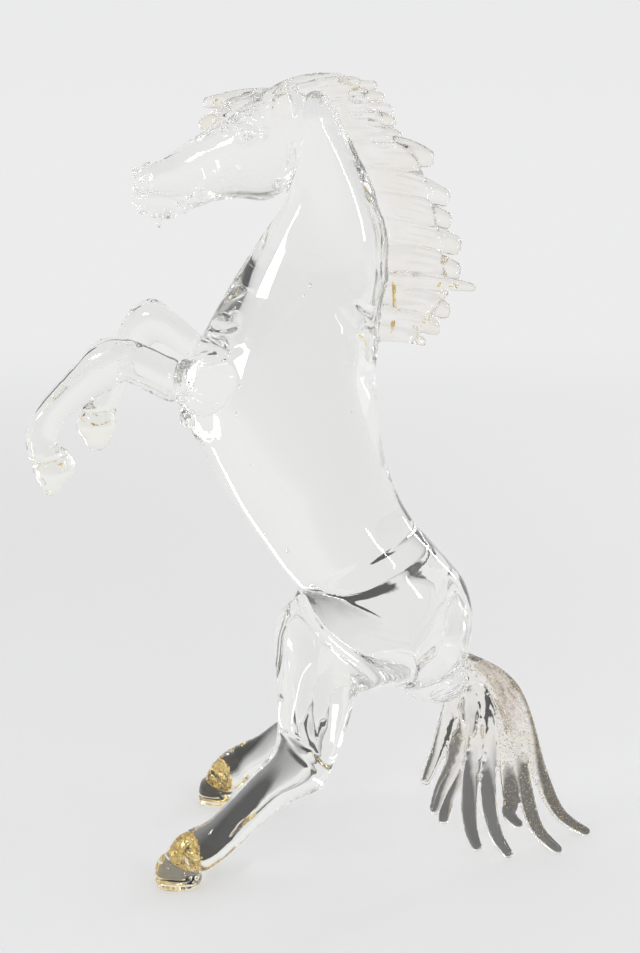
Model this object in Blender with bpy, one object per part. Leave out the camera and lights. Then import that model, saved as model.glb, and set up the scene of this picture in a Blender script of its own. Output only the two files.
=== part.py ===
"""Clear glass horse rearing on its hind hooves and the tips of its tail, hot worked and fused as one piece.

Units are metres with +Z up. The horse faces -X, its near side is -Y, and it stands on z = 0.
The pose tables are in millimetres, seen from the near side: x runs from head to tail and z is the height.
"""

import math

import bmesh
import bpy
from mathutils import Matrix, Vector

MM = 0.001

# Named sizes, in millimetres
BODY_WIDTH = 78.0
HEAD_WIDTH = 37.0
HIND_LEG_WIDTH = 38.0
FORE_LEG_WIDTH = 25.0
HOOF_WIDTH = 22.0
FORE_HOOF_WIDTH = 17.0
HIND_STANCE = 112.0
FORE_STANCE = 62.0
EYE_RADIUS = 5.5
NOSTRIL_RADIUS = 3.6
EAR_THICKNESS = 6.5
KNOB_RADIUS = 5.0
SHOULDER_DEPTH = 40.0
SHOULDER_WIDTH = 34.0
SHOULDER_HEIGHT = 34.0
HAIR_THICKNESS = 8.0
HAIR_TIP_SHARE = 0.5
HAIR_ARCH = 2.0
HAIR_INSET = 6.0
MANE_SPREAD = 8.0
MANE_WEB_SHARE = 0.8
MANE_WEB_THICKNESS = 5.0
FORELOCK_SPREAD = 13.0
STRAND_DEPTH = 10.5
STRAND_THICKNESS = 6.5
STRAND_TIP_SHARE = 0.5
TAIL_STAGGER = 5.0
TAIL_SWEEP = 5.0

# Fineness of the solid
RING_POINTS = 24
RIB_STEPS = 4
CAP_STEPS = 3
PETAL_STEPS = 8
VOXEL_SIZE = 1.5
SMOOTH_STEPS = 4
TRIANGLE_TARGET = 9400

# Trunk, from the poll down the neck and the body to the croup:
# belly side x, z, back side x, z, and the width as a share of BODY_WIDTH
TRUNK = (
    (-14, 368, 4, 397, 0.38),
    (-17, 350, 19, 371, 0.43),
    (-28, 333, 29, 350, 0.48),
    (-40, 315, 35, 329, 0.54),
    (-50, 299, 35, 308, 0.62),
    (-60, 281, 31, 290, 0.74),
    (-68, 264, 30, 274, 0.86),
    (-75, 244, 29, 260, 0.95),
    (-62, 219, 30, 241, 1.00),
    (-50, 197, 33, 220, 1.00),
    (-39, 181, 39, 200, 0.97),
    (-26, 163, 48, 183, 0.95),
    (-11, 144, 61, 168, 0.96),
    (-4, 127, 76, 150, 0.96),
    (9, 111, 81, 131, 0.86),
    (27, 97, 79, 114, 0.68),
    (43, 92, 75, 104, 0.48),
)
# Head, from the poll to the upper lip: top x, z, underside x, z, share of HEAD_WIDTH
HEAD = (
    (-3, 399, -4, 366, 0.75),
    (-18, 404, -14, 356, 0.92),
    (-34, 399, -27, 348, 1.00),
    (-48, 390, -42, 349, 0.86),
    (-62, 381, -57, 347, 0.64),
    (-73, 374, -68, 347, 0.55),
    (-84, 367, -80, 350, 0.56),
    (-91, 364, -88, 350, 0.56),
    (-94, 358, -92, 351, 0.42),
)
# Lower jaw: upper side x, z, underside x, z, share of HEAD_WIDTH
JAW = (
    (-56, 355, -53, 348, 0.48),
    (-66, 354, -64, 343, 0.50),
    (-77, 354, -76, 339, 0.48),
    (-87, 354, -87, 339, 0.46),
    (-93, 352, -94, 343, 0.38),
)
# Legs: front x, z, rear x, z, place across as a share of the stance from the middle line, share of the leg's width
NEAR_HIND_LEG = (
    (0, 152, 60, 124, 0.36, 1.00),
    (-16, 141, 50, 104, 0.44, 1.00),
    (-21, 126, 34, 101, 0.56, 0.90),
    (-19, 105, 23, 99, 0.67, 0.79),
    (-18, 89, 18, 84, 0.76, 0.70),
    (-19, 75, 12, 67, 0.83, 0.63),
    (-25, 64, 5, 52, 0.86, 0.62),
    (-33, 55, -13, 43, 0.89, 0.54),
    (-42, 45, -27, 31, 0.92, 0.49),
    (-54, 33, -39, 19, 0.95, 0.48),
    (-64, 28, -50, 10, 0.98, 0.54),
    (-70, 23, -58, 6, 1.00, 0.56),
)
FAR_HIND_LEG = (
    (2, 150, 60, 124, 0.36, 1.00),
    (-13, 139, 50, 108, 0.44, 1.00),
    (-18, 122, 35, 104, 0.56, 0.90),
    (-17, 101, 23, 98, 0.66, 0.79),
    (-16, 85, 18, 82, 0.74, 0.70),
    (-17, 70, 12, 62, 0.81, 0.63),
    (-21, 59, 4, 46, 0.86, 0.62),
    (-32, 49, -17, 34, 0.90, 0.54),
    (-42, 41, -31, 24, 0.93, 0.49),
    (-53, 35, -44, 17, 0.96, 0.48),
    (-62, 29, -51, 10, 0.99, 0.52),
    (-66, 24, -57, 7, 1.00, 0.52),
)
NEAR_FORE_LEG = (
    (-45, 273, -50, 243, 0.55, 1.12),
    (-60, 270, -64, 246, 0.76, 1.00),
    (-72, 270, -75, 248, 0.87, 0.90),
    (-87, 277, -83, 252, 0.92, 0.84),
    (-101, 281, -96, 258, 0.96, 0.80),
    (-113, 277, -103, 254, 0.97, 0.76),
    (-123, 266, -113, 249, 0.98, 0.68),
    (-134, 254, -122, 243, 1.00, 0.60),
    (-143, 243, -129, 236, 1.02, 0.55),
    (-148, 231, -132, 228, 1.03, 0.52),
    (-147, 219, -131, 219, 1.04, 0.54),
)
FAR_FORE_LEG = (
    (-45, 283, -48, 251, 0.55, 1.12),
    (-62, 275, -62, 250, 0.76, 1.00),
    (-78, 286, -72, 261, 0.87, 0.90),
    (-92, 295, -86, 270, 0.92, 0.84),
    (-104, 290, -92, 271, 0.96, 0.78),
    (-112, 277, -98, 265, 0.97, 0.68),
    (-117, 262, -104, 256, 0.99, 0.58),
    (-122, 248, -110, 245, 1.01, 0.54),
    (-127, 236, -114, 234, 1.03, 0.54),
)
# Hooves: toe x, z, heel x, z, share of the hoof's width, from the coronet down
NEAR_HIND_HOOF = (
    (-72, 21, -57, 21, 0.75),
    (-79, 13, -56, 12, 0.95),
    (-81, 5, -56, 5, 1.00),
    (-79, -4, -59, -4, 0.95),
)
FAR_HIND_HOOF = (
    (-68, 21, -55, 21, 0.75),
    (-74, 13, -54, 12, 0.95),
    (-76, 5, -55, 5, 1.00),
    (-75, -4, -57, -4, 0.95),
)
NEAR_FORE_HOOF = (
    (-145, 216, -124, 219, 0.90),
    (-144, 210, -123, 212, 1.00),
    (-140, 204, -129, 205, 0.85),
)
FAR_FORE_HOOF = (
    (-135, 231, -116, 233, 0.90),
    (-137, 224, -115, 225, 1.00),
    (-133, 218, -118, 219, 0.85),
)
# Near ear, base to tip: front x, z, rear x, z, share of the thickness
EAR = (
    (-30, 386, -10, 388, 1.0),
    (-27, 395, -12, 397, 0.9),
    (-19, 405, -15, 405, 0.5),
)
# Places across, as shares of half the head's or the body's width
EAR_SET_SHARE = 0.70
EYE = (-35, 382)
EYE_SET_SHARE = 0.74
NOSTRIL = (-90, 361)
NOSTRIL_SET_SHARE = 0.40
ARMPIT_KNOB = (-66, 238)
ARMPIT_SET_SHARE = 0.46
SHOULDER = (-52, 256)
SHOULDER_SET_SHARE = 0.52

# Petals of the mane, from between the ears down to the withers:
# root x, z on the crest, tip x, z, and the petal's depth at the root, in the middle and at the tip
MANE_PETALS = (
    (-16, 403, 11, 409, 8, 7, 4),
    (-13, 400, 19, 407, 8, 7, 4),
    (-8, 398, 27, 405, 8, 8, 5),
    (-1, 396, 31, 399, 9, 9, 5),
    (5, 392, 35, 393, 9, 9, 5),
    (9, 387, 37, 387, 10, 10, 6),
    (13, 380, 40, 379, 11, 12, 7),
    (18, 371, 56, 369, 12, 17, 9),
    (25, 358, 64, 349, 15, 15, 9),
    (31, 345, 65, 338, 14, 13, 9),
    (34, 332, 70, 325, 15, 15, 10),
    (35, 317, 70, 313, 15, 16, 9),
    (35, 306, 78, 304, 12, 11, 4),
    (34, 297, 65, 293, 14, 14, 9),
    (33, 288, 60, 283, 13, 13, 8),
    (33, 280, 53, 277, 10, 9, 5),
)
# Locks of the forelock over the forehead: root x, z, tip x, z, the three depths,
# and the place across as a share of half the spread
FORELOCK = (
    (-14, 398, -57.5, 396.5, 8, 9, 6, 0),
    (-26, 396, -59, 385.5, 8, 9, 6.5, -1),
    (-26, 396, -59, 385.5, 8, 9, 6.5, 1),
    (-16, 397, -47, 393, 8, 8, 6, -0.7),
    (-16, 397, -47, 393, 8, 8, 6, 0.7),
)

# Tail: from the innermost to the outermost strand, the dock that it leaves and the fan line, x, y, z
DOCK_INNER = (64, 0, 102)
DOCK_OUTER = (73, 0, 108)
FAN_INNER = (72, 0, 90)
FAN_OUTER = (102, 4, 90)
# Strands from the innermost to the outermost: middle x, z, then tip x, y, z
STRANDS = (
    (66, 63, 57, -10, 41),
    (73, 54, 62, -2, 21),
    (76, 44, 67, 9, 11),
    (81, 38, 86, -2, 1),
    (91, 33, 103, -9, 1),
    (103, 34, 109, 10, 10),
    (110, 36, 130, -1, 1),
    (119, 40, 147, 25, 1),
)


def between(first, last, share):
    """The values at a share of the way from the first to the last."""
    return [a + (b - a) * share for a, b in zip(first, last)]


def smooth_rows(rows, steps):
    """Catmull-Rom rows between the given ones, so that a form passes through each of its ribs."""
    out = []
    last = len(rows) - 1
    for i in range(last):
        before, start, end, after = rows[max(i - 1, 0)], rows[i], rows[i + 1], rows[min(i + 2, last)]
        for k in range(steps):
            t = k / steps
            out.append(
                [
                    0.5 * (2 * b + (c - a) * t + (2 * a - 5 * b + 4 * c - d) * t**2 + (3 * b - a - 3 * c + d) * t**3)
                    for a, b, c, d in zip(before, start, end, after)
                ]
            )
    out.append(list(rows[last]))
    return out


def rib_ring(centre, half_depth, half_width):
    """An oval ring in millimetres: half_depth is a vector in the side plane, half_width runs across."""
    ring = []
    for k in range(RING_POINTS):
        angle = 2 * math.pi * k / RING_POINTS
        ring.append(centre + half_depth * math.cos(angle) + Vector((0, half_width * math.sin(angle), 0)))
    return ring


def end_cap(centre, half_depth, half_width, outwards):
    """The rings that round off the end of a form."""
    reach = outwards.normalized() * min(half_depth.length, half_width)
    rings = []
    for k in range(1, CAP_STEPS + 1):
        angle = math.pi / 2 * k / (CAP_STEPS + 0.5)
        share = math.cos(angle)
        rings.append(rib_ring(centre + reach * math.sin(angle), half_depth * share, half_width * share))
    return rings


def add_form(mesh, ribs, steps=RIB_STEPS):
    """One rounded closed form through ribs of front x, z, rear x, z, place across and half width."""
    rows = smooth_rows(ribs, steps)
    ovals = []
    for front_x, front_z, rear_x, rear_z, across, half_width in rows:
        front = Vector((front_x, across, front_z))
        rear = Vector((rear_x, across, rear_z))
        ovals.append(((front + rear) / 2, (front - rear) / 2, half_width))
    first_axis = ovals[0][0] - ovals[1][0]
    last_axis = ovals[-1][0] - ovals[-2][0]
    rings = end_cap(*ovals[0], first_axis)[::-1]
    rings += [rib_ring(*oval) for oval in ovals]
    rings += end_cap(*ovals[-1], last_axis)
    loops = [[mesh.verts.new(point * MM) for point in ring] for ring in rings]
    faces = [mesh.faces.new(loops[0]), mesh.faces.new(reversed(loops[-1]))]
    for lower, upper in zip(loops, loops[1:]):
        for k in range(RING_POINTS):
            after = (k + 1) % RING_POINTS
            faces.append(mesh.faces.new((lower[k], upper[k], upper[after], lower[after])))
    bmesh.ops.recalc_face_normals(mesh, faces=faces)


def add_ball(mesh, centre, radius):
    """A round bead of glass."""
    add_oval(mesh, centre, (2 * radius,) * 3)


def add_oval(mesh, centre, size):
    """An oval gather of glass of the given size along x, y and z."""
    place = Matrix.Translation(Vector(centre) * MM) @ Matrix.Diagonal((*size, 1.0))
    bmesh.ops.create_uvsphere(mesh, u_segments=24, v_segments=16, radius=MM / 2, matrix=place)


def table_ribs(table, half_width, across=0.0):
    """Ribs of a form on one line across: the table's last column is a share of the half width."""
    return [(*row[:4], across, row[4] * half_width) for row in table]


def leg_ribs(table, stance, half_width):
    """Ribs of a leg, whose place across and width change down its length."""
    return [(*row[:4], row[4] * stance, row[5] * half_width) for row in table]


def lock_ribs(path, depth, thickness, tip_share):
    """Ribs of a lock or a strand of glass drawn along a path of x, y, z, fine at its tip."""
    points = [Vector(p) for p in smooth_rows(path, RIB_STEPS)]
    last = len(points) - 1
    ribs = []
    for i, point in enumerate(points):
        ahead = points[min(i + 1, last)] - points[max(i - 1, 0)]
        side = Vector((-ahead.z, 0, ahead.x)).normalized()
        share = 1 - (1 - tip_share) * (i / last) ** 2
        front, rear = point + side * depth * share / 2, point - side * depth * share / 2
        ribs.append((front.x, front.z, rear.x, rear.z, point.y, thickness * share / 2))
    return ribs


def add_body(mesh):
    """Trunk, head, lower jaw, ears, eyes, nostrils, shoulders and the beads at the forelegs' seams."""
    add_form(mesh, table_ribs(TRUNK, BODY_WIDTH / 2))
    add_form(mesh, table_ribs(HEAD, HEAD_WIDTH / 2))
    add_form(mesh, table_ribs(JAW, HEAD_WIDTH / 2))
    half_head, half_body = HEAD_WIDTH / 2, BODY_WIDTH / 2
    for side in (-1, 1):
        add_form(mesh, table_ribs(EAR, EAR_THICKNESS / 2, side * EAR_SET_SHARE * half_head))
        add_ball(mesh, (EYE[0], side * EYE_SET_SHARE * half_head, EYE[1]), EYE_RADIUS)
        add_ball(mesh, (NOSTRIL[0], side * NOSTRIL_SET_SHARE * half_head, NOSTRIL[1]), NOSTRIL_RADIUS)
        add_ball(mesh, (ARMPIT_KNOB[0], side * ARMPIT_SET_SHARE * half_body, ARMPIT_KNOB[1]), KNOB_RADIUS)
        shoulder = (SHOULDER[0], side * SHOULDER_SET_SHARE * half_body, SHOULDER[1])
        add_oval(mesh, shoulder, (SHOULDER_DEPTH, SHOULDER_WIDTH, SHOULDER_HEIGHT))


def add_legs(mesh):
    """Four legs with their hooves."""
    hind, fore = HIND_STANCE / 2, FORE_STANCE / 2
    add_form(mesh, leg_ribs(NEAR_HIND_LEG, -hind, HIND_LEG_WIDTH / 2))
    add_form(mesh, leg_ribs(FAR_HIND_LEG, hind, HIND_LEG_WIDTH / 2))
    add_form(mesh, table_ribs(NEAR_HIND_HOOF, HOOF_WIDTH / 2, -hind))
    add_form(mesh, table_ribs(FAR_HIND_HOOF, HOOF_WIDTH / 2, hind))
    add_form(mesh, leg_ribs(NEAR_FORE_LEG, -fore, FORE_LEG_WIDTH / 2))
    add_form(mesh, leg_ribs(FAR_FORE_LEG, fore, FORE_LEG_WIDTH / 2))
    add_form(mesh, table_ribs(NEAR_FORE_HOOF, FORE_HOOF_WIDTH / 2, -fore * NEAR_FORE_LEG[-1][4]))
    add_form(mesh, table_ribs(FAR_FORE_HOOF, FORE_HOOF_WIDTH / 2, fore * FAR_FORE_LEG[-1][4]))


def petal_ribs(root, tip, depths, across):
    """Ribs of a petal of hair, arched from its root inside the glass to a finer tip.

    The root and the tip are x, z, and the depths are those at the root, in the middle and at the tip.
    """
    run = Vector(tip) - Vector(root)
    upwards = Vector((-run.y, run.x)).normalized() * math.copysign(1, run.x)
    start = Vector(root) - run.normalized() * HAIR_INSET
    ribs = []
    for k in range(PETAL_STEPS + 1):
        t = k / PETAL_STEPS
        first, middle, last = depths
        depth = first * (1 - t) * (1 - 2 * t) + middle * 4 * t * (1 - t) + last * t * (2 * t - 1)
        point = start.lerp(Vector(tip), t) + upwards * HAIR_ARCH * 4 * t * (1 - t)
        front, rear = point + upwards * depth / 2, point - upwards * depth / 2
        half_width = HAIR_THICKNESS / 2 * (1 - (1 - HAIR_TIP_SHARE) * t**2)
        ribs.append((*front, *rear, across * (0.4 + 0.6 * t), half_width))
    return ribs


def add_mane(mesh):
    """A web of glass along the crest, and the petals drawn off it by turns to the near and the far side."""
    web = []
    for i, (root_x, root_z, tip_x, tip_z, *depths) in enumerate(MANE_PETALS):
        edge_x, edge_z = between((root_x, root_z), (tip_x, tip_z), MANE_WEB_SHARE)
        web.append((root_x - HAIR_INSET, root_z, edge_x, edge_z, 0, MANE_WEB_THICKNESS / 2))
        across = (-1 if i % 2 else 1) * MANE_SPREAD / 2
        add_form(mesh, petal_ribs((root_x, root_z), (tip_x, tip_z), depths, across), 1)
    add_form(mesh, web, 2)


def add_forelock(mesh):
    """The locks over the forehead."""
    for root_x, root_z, tip_x, tip_z, *depths, place in FORELOCK:
        across = place * FORELOCK_SPREAD / 2
        add_form(mesh, petal_ribs((root_x, root_z), (tip_x, tip_z), depths, across), 1)


def add_tail(mesh):
    """Strands fused side by side at the dock, which part below into single tips."""
    count = len(STRANDS)
    for i, (middle_x, middle_z, tip_x, tip_y, tip_z) in enumerate(STRANDS):
        share = i / (count - 1)
        stagger = TAIL_STAGGER / 2 * (-1 if i % 2 else 1)
        dock = between(DOCK_INNER, DOCK_OUTER, share)
        fan = between(FAN_INNER, FAN_OUTER, share)
        fan[1] += stagger * 0.5
        middle = (middle_x, (fan[1] + tip_y) / 2 + stagger, middle_z)
        tip = (tip_x, tip_y, tip_z)
        low = between(middle, tip, 0.6)
        low[0] -= TAIL_SWEEP * share
        low[2] -= TAIL_SWEEP * share / 2
        path = [dock, fan, middle, low, tip]
        add_form(mesh, lock_ribs(path, STRAND_DEPTH, STRAND_THICKNESS, STRAND_TIP_SHARE), 1)


def glass_material():
    """Clear colourless glass."""
    material = bpy.data.materials.new("clear_glass")
    material.use_nodes = True
    shader = material.node_tree.nodes["Principled BSDF"]
    shader.inputs["Base Color"].default_value = (0.95, 0.96, 0.95, 1.0)
    shader.inputs["Roughness"].default_value = 0.02
    shader.inputs["Metallic"].default_value = 0.0
    shader.inputs["Transmission Weight"].default_value = 1.0
    return material


def floor_cutter():
    """The block below the floor that cuts the hooves and the tail's tips flat."""
    mesh = bmesh.new()
    bmesh.ops.create_cube(mesh, size=1.0)
    for vertex in mesh.verts:
        vertex.co.x *= 0.6
        vertex.co.y *= 0.4
        vertex.co.z = (vertex.co.z - 0.5) * 0.1
    data = bpy.data.meshes.new("floor_cutter")
    mesh.to_mesh(data)
    mesh.free()
    cutter = bpy.data.objects.new("floor_cutter", data)
    bpy.context.scene.collection.objects.link(cutter)
    cutter.hide_render = True
    cutter.display_type = "WIRE"
    return cutter


def triangle_count(horse):
    """Triangles of the horse with the modifiers that it has so far."""
    evaluated = horse.evaluated_get(bpy.context.evaluated_depsgraph_get())
    return sum(len(face.vertices) - 2 for face in evaluated.data.polygons)


def make_horse():
    """All forms in one object, fused, softened as the fire does, thinned and cut flat on the floor."""
    mesh = bmesh.new()
    add_body(mesh)
    add_legs(mesh)
    add_mane(mesh)
    add_forelock(mesh)
    add_tail(mesh)
    data = bpy.data.meshes.new("glass_horse")
    mesh.to_mesh(data)
    mesh.free()
    data.materials.append(glass_material())
    data.shade_smooth()
    horse = bpy.data.objects.new("glass_horse", data)
    bpy.context.scene.collection.objects.link(horse)

    fuse = horse.modifiers.new("fuse", "REMESH")
    fuse.mode = "VOXEL"
    fuse.voxel_size = VOXEL_SIZE * MM
    fuse.use_smooth_shade = True
    soften = horse.modifiers.new("soften", "SMOOTH")
    soften.factor = 0.5
    soften.iterations = SMOOTH_STEPS
    thin = horse.modifiers.new("thin", "DECIMATE")
    thin.ratio = 1.0
    thin.ratio = TRIANGLE_TARGET / triangle_count(horse)
    soles = horse.modifiers.new("soles", "BOOLEAN")
    soles.operation = "DIFFERENCE"
    soles.object = floor_cutter()
    return horse


def main():
    for item in list(bpy.data.objects):
        bpy.data.objects.remove(item)
    make_horse()


main()
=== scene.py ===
"""Looks of a clear glass horse that rears on its hind hooves and the tips of its tail.

The glass is one hot-worked piece. Its forms are drawn as rounded lofts, fused by a voxel remesh, softened
as the fire does and cut flat on the floor. Gold leaf, a film and a few bubbles are sealed in the glass. Rows
are in millimetres, seen from the near side: x runs from head to tail, z is the height, and the near side is -y.
"""

from __future__ import annotations

import logging
import math
from dataclasses import dataclass, field
from enum import Enum
from typing import Iterable, Sequence

import bmesh
import bpy
import numpy as np
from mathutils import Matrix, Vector
from mathutils.kdtree import KDTree

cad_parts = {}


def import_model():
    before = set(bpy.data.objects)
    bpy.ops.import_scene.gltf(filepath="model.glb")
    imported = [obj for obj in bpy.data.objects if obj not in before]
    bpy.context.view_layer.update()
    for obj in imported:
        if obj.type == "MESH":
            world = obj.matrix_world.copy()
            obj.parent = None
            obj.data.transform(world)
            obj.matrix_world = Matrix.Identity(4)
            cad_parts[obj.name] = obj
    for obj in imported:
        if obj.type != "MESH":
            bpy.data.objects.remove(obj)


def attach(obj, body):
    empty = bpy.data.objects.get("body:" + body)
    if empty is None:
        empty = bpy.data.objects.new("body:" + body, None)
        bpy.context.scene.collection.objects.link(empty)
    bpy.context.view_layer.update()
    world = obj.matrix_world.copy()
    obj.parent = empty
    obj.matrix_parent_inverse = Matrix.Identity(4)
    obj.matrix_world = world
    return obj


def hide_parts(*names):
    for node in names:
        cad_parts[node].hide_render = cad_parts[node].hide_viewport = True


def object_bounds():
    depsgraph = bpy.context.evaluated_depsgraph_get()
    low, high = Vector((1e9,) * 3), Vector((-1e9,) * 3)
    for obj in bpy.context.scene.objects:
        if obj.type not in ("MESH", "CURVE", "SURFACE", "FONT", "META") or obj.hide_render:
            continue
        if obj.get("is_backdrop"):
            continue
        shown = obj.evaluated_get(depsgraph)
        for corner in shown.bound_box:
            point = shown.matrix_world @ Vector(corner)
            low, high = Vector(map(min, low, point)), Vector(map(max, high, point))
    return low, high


LOG = logging.getLogger("glass_horse")
MM = 0.001
BODY = "root"
NODE = "glass_horse"
SLOT = "clear_glass"
LOCK_STEPS = 6
SHADER = "Principled BSDF"

Row = Sequence[float]


class Side(Enum):
    """The two sides of the horse, with the sign of y on each."""

    NEAR = -1
    FAR = 1


class Zone(Enum):
    """What a stretch of glass belongs to, for its tint."""

    BODY = "body"
    HAIR = "hair"
    HOOF = "hoof"


class Look(Enum):
    """The kinds of ray that the studio and the glass tell apart."""

    THROUGH_GLASS = "Is Transmission Ray"
    SHADOW = "Is Shadow Ray"


def between(first: Row, last: Row, share: float) -> list[float]:
    """Values on the way from one row to another.

    Args:
        first: The row at share 0.
        last: The row at share 1.
        share: How far along, from 0 to 1.

    Returns:
        The row at that share.
    """
    return [a + (b - a) * share for a, b in zip(first, last)]


def smooth_rows(rows: Sequence[Row], steps: int) -> np.ndarray:
    """Catmull-Rom rows between the given ones, so that a form passes through each of its ribs.

    Args:
        rows: Two or more rows of equal length.
        steps: Rows made for each given one.

    Returns:
        The rows as an array.
    """
    table = np.array(rows, float)
    padded = np.vstack([table[:1], table, table[-1:]])
    out = []
    for i in range(len(table) - 1):
        a, b, c, d = padded[i : i + 4]
        for t in np.arange(steps) / steps:
            cubic = (3 * b - a - 3 * c + d) * t**3
            out.append(0.5 * (2 * b + (c - a) * t + (2 * a - 5 * b + 4 * c - d) * t**2 + cubic))
    out.append(table[-1])
    return np.array(out)


@dataclass
class Form:
    """One rounded closed form of glass, before it is fused with the others.

    Each rib is front x, front z, rear x, rear z, place across and half width.
    """

    ribs: Sequence[Row]
    steps: int = 8
    ring: int = 48
    end_round: float = 1.0
    end_rings: int = 6
    last_ring: float = 0.03
    zone: Zone = Zone.BODY

    def outline(self, rows: np.ndarray) -> tuple[np.ndarray, np.ndarray, np.ndarray]:
        """Centres, half depths in the side plane, and half widths of the smoothed ribs.

        Args:
            rows: The smoothed ribs.

        Returns:
            Three arrays, with a row for each rib.
        """
        zeros = np.zeros(len(rows))
        front = np.stack([rows[:, 0], rows[:, 4], rows[:, 1]], axis=1)
        rear = np.stack([rows[:, 2], rows[:, 4], rows[:, 3]], axis=1)
        return (front + rear) / 2, (front - rear) / 2, np.stack([zeros, rows[:, 5], zeros], axis=1)

    def cap(self, centre: np.ndarray, depth: np.ndarray, width: np.ndarray, axis: np.ndarray) -> list[tuple]:
        """The rings that round off an end.

        Args:
            centre: Centre of the end rib.
            depth: Its half depth.
            width: Its half width.
            axis: The direction out of the form.

        Returns:
            Centre, half depth and half width of each ring, outwards.
        """
        thinner = min(np.linalg.norm(depth), np.linalg.norm(width))
        reach = axis / np.linalg.norm(axis) * thinner * self.end_round
        angles = np.linspace(0, math.pi / 2, self.end_rings + 1)[1:]
        shares = np.maximum(np.cos(angles), self.last_ring)
        return [(centre + reach * math.sin(a), depth * s, width * s) for a, s in zip(angles, shares)]

    def build(self) -> tuple[np.ndarray, list[tuple[int, ...]]]:
        """Points in millimetres and the faces of the closed form.

        Returns:
            Its points and its faces.
        """
        centres, depths, widths = self.outline(smooth_rows(self.ribs, self.steps))
        ovals = list(zip(centres, depths, widths))
        start = self.cap(*ovals[0], centres[0] - centres[1])[::-1]
        end = self.cap(*ovals[-1], centres[-1] - centres[-2])
        ovals = start + ovals + end
        angles = 2 * math.pi * np.arange(self.ring) / self.ring
        along, across = np.cos(angles), np.sin(angles)
        points = np.vstack([c + np.outer(along, d) + np.outer(across, w) for c, d, w in ovals])
        faces = [tuple(range(self.ring))]
        for low in range(0, (len(ovals) - 1) * self.ring, self.ring):
            high = low + self.ring
            for k in range(self.ring):
                after = (k + 1) % self.ring
                faces.append((low + k, high + k, high + after, low + after))
        faces.append(tuple(reversed(range((len(ovals) - 1) * self.ring, len(ovals) * self.ring))))
        return points, faces


@dataclass
class Bead:
    """A round or oval bead of glass."""

    centre: Row
    radii: Row
    zone: Zone = Zone.BODY
    fineness: int = 4

    def build(self) -> tuple[np.ndarray, list[tuple[int, ...]]]:
        """Points in millimetres and the faces of the bead.

        Returns:
            Its points and its faces.
        """
        mesh = bmesh.new()
        bmesh.ops.create_icosphere(mesh, subdivisions=self.fineness, radius=1.0)
        points = np.array([v.co for v in mesh.verts]) * np.array(self.radii) + np.array(self.centre)
        faces = [tuple(v.index for v in f.verts) for f in mesh.faces]
        mesh.free()
        return points, faces


@dataclass(frozen=True)
class Groove:
    """A crease worked into the surface along a line of x, z, on one side or both, or right round a limb."""

    line: tuple[tuple[float, float], ...]
    depth: float = 0.6
    width: float = 1.1
    side: Side | None = None
    ends: float = 0.25
    all_round: bool = False
    steps: int = 8
    reach: float = 4.0
    least_facing: float = 0.2

    def carve(self, points: np.ndarray, normals: np.ndarray) -> np.ndarray:
        """How far each point moves.

        Args:
            points: Points of the surface, in millimetres.
            normals: Their normals.

        Returns:
            The movement of each point, in millimetres.
        """
        path = smooth_rows(self.line, self.steps)
        flat = points[:, [0, 2]]
        low, high = path.min(axis=0) - self.reach * self.width, path.max(axis=0) + self.reach * self.width
        near = ((flat > low) & (flat < high)).all(axis=1)
        if not self.all_round:
            near &= np.abs(normals[:, 1]) > self.least_facing
        if self.side is not None:
            near &= np.sign(points[:, 1]) == self.side.value
        chosen = np.nonzero(near)[0]
        moved = np.zeros_like(points)
        if not len(chosen):
            return moved
        gap = np.full(len(chosen), np.inf)
        fade = np.zeros(len(chosen))
        for i, (start, stop) in enumerate(zip(path, path[1:])):
            run = stop - start
            t = np.clip((flat[chosen] - start) @ run / max(run @ run, 1e-9), 0, 1)
            distance = np.linalg.norm(flat[chosen] - start - t[:, None] * run, axis=1)
            place = (i + t) / (len(path) - 1)
            closer = distance < gap
            gap[closer] = distance[closer]
            fade[closer] = np.clip(np.minimum(place, 1 - place)[closer] / self.ends, 0, 1)
        share = np.exp(-((gap / self.width) ** 2)) * fade
        moved[chosen] = -normals[chosen] * (share * self.depth)[:, None]
        return moved


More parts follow.
